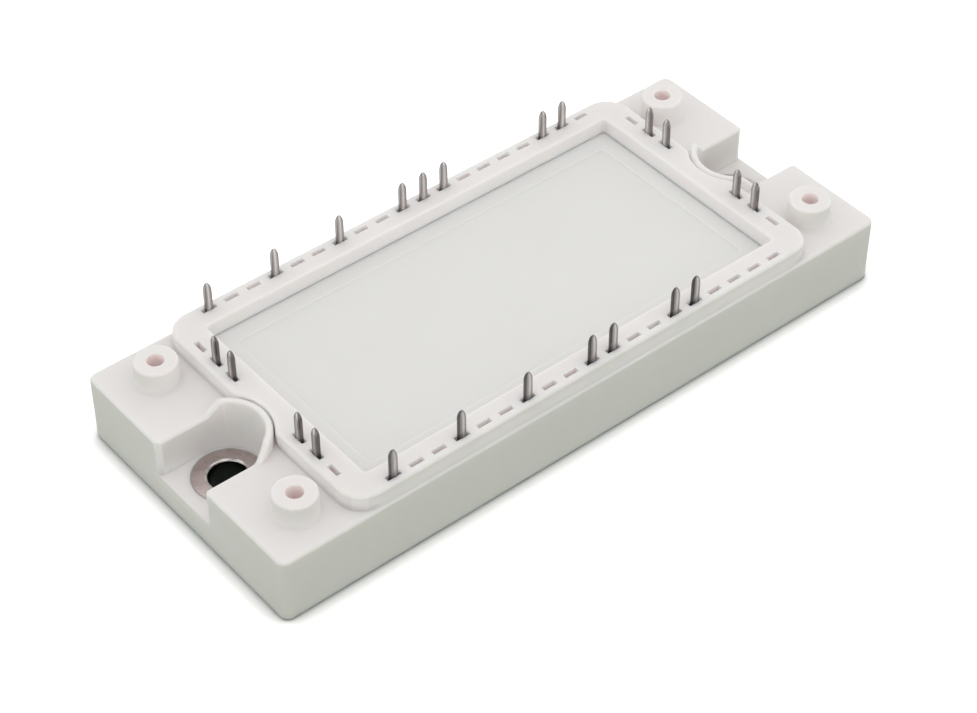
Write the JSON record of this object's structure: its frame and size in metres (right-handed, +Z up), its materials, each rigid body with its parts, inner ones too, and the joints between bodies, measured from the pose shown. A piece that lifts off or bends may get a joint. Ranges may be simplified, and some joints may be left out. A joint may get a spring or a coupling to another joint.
{
  "type": "igbt power module",
  "caption": "Flat moulded power module with upright terminal pins round a recessed lid, four board posts, a metal base plate and a screw notch at each short end.",
  "frame": {"origin": "under the middle of the base plate, on the face that meets the heat sink", "axes": "+X along the length between the two screw notches, +Y across the width, +Z up towards the terminal pins"},
  "size_m": [0.1076, 0.0454, 0.0183],
  "materials": {
    "housing_plastic": "fine matte off-white moulding with softly rounded edges",
    "lid_plastic": "fine matte off-white moulding",
    "nickel_plate": "satin nickel plating on copper",
    "bush_steel": "turned, with fine concentric marks",
    "tinned_pin": "dull tin plating, slightly tarnished",
    "silicone_seal": "matte cured adhesive",
    "solder": "dull solder",
    "copper": "etched copper",
    "ceramic": "opaque white alumina",
    "chip_metal": "metallised silicon",
    "thermistor_ceramic": "opaque dark ceramic",
    "bond_aluminium": "drawn wire",
    "gel": "soft clear gel"
  },
  "bodies": {
    "root": {"housing": "housing_plastic", "lid": "lid_plastic", "base_plate": "nickel_plate", "housing_seal": "silicone_seal", "screw_bush_1": "bush_steel", "screw_bush_2": "bush_steel", "terminal_pin_01": "tinned_pin", "terminal_pin_02": "tinned_pin", "terminal_pin_03": "tinned_pin", "terminal_pin_04": "tinned_pin", "terminal_pin_05": "tinned_pin", "terminal_pin_06": "tinned_pin", "terminal_pin_07": "tinned_pin", "terminal_pin_08": "tinned_pin", "terminal_pin_09": "tinned_pin", "terminal_pin_10": "tinned_pin", "terminal_pin_11": "tinned_pin", "terminal_pin_12": "tinned_pin", "terminal_pin_13": "tinned_pin", "terminal_pin_14": "tinned_pin", "terminal_pin_15": "tinned_pin", "terminal_pin_16": "tinned_pin", "terminal_pin_17": "tinned_pin", "terminal_pin_18": "tinned_pin", "terminal_pin_19": "tinned_pin", "terminal_pin_20": "tinned_pin", "terminal_pin_21": "tinned_pin", "terminal_pin_22": "tinned_pin", "terminal_pin_23": "tinned_pin", "substrate_solder_1": "solder", "substrate_solder_2": "solder", "substrate_backing_1": "copper", "substrate_backing_2": "copper", "substrate_ceramic_1": "ceramic", "substrate_ceramic_2": "ceramic", "substrate_tracks_1": "copper", "substrate_tracks_2": "copper", "igbt_chip_1": "chip_metal", "igbt_chip_2": "chip_metal", "igbt_chip_3": "chip_metal", "igbt_chip_4": "chip_metal", "igbt_chip_5": "chip_metal", "igbt_chip_6": "chip_metal", "igbt_chip_7": "chip_metal", "freewheel_diode_1": "chip_metal", "freewheel_diode_2": "chip_metal", "freewheel_diode_3": "chip_metal", "freewheel_diode_4": "chip_metal", "freewheel_diode_5": "chip_metal", "freewheel_diode_6": "chip_metal", "freewheel_diode_7": "chip_metal", "rectifier_diode_1": "chip_metal", "rectifier_diode_2": "chip_metal", "rectifier_diode_3": "chip_metal", "rectifier_diode_4": "chip_metal", "rectifier_diode_5": "chip_metal", "rectifier_diode_6": "chip_metal", "thermistor": "thermistor_ceramic", "bond_wires": "bond_aluminium", "silicone_gel": "gel"}
  },
  "joints": []
}
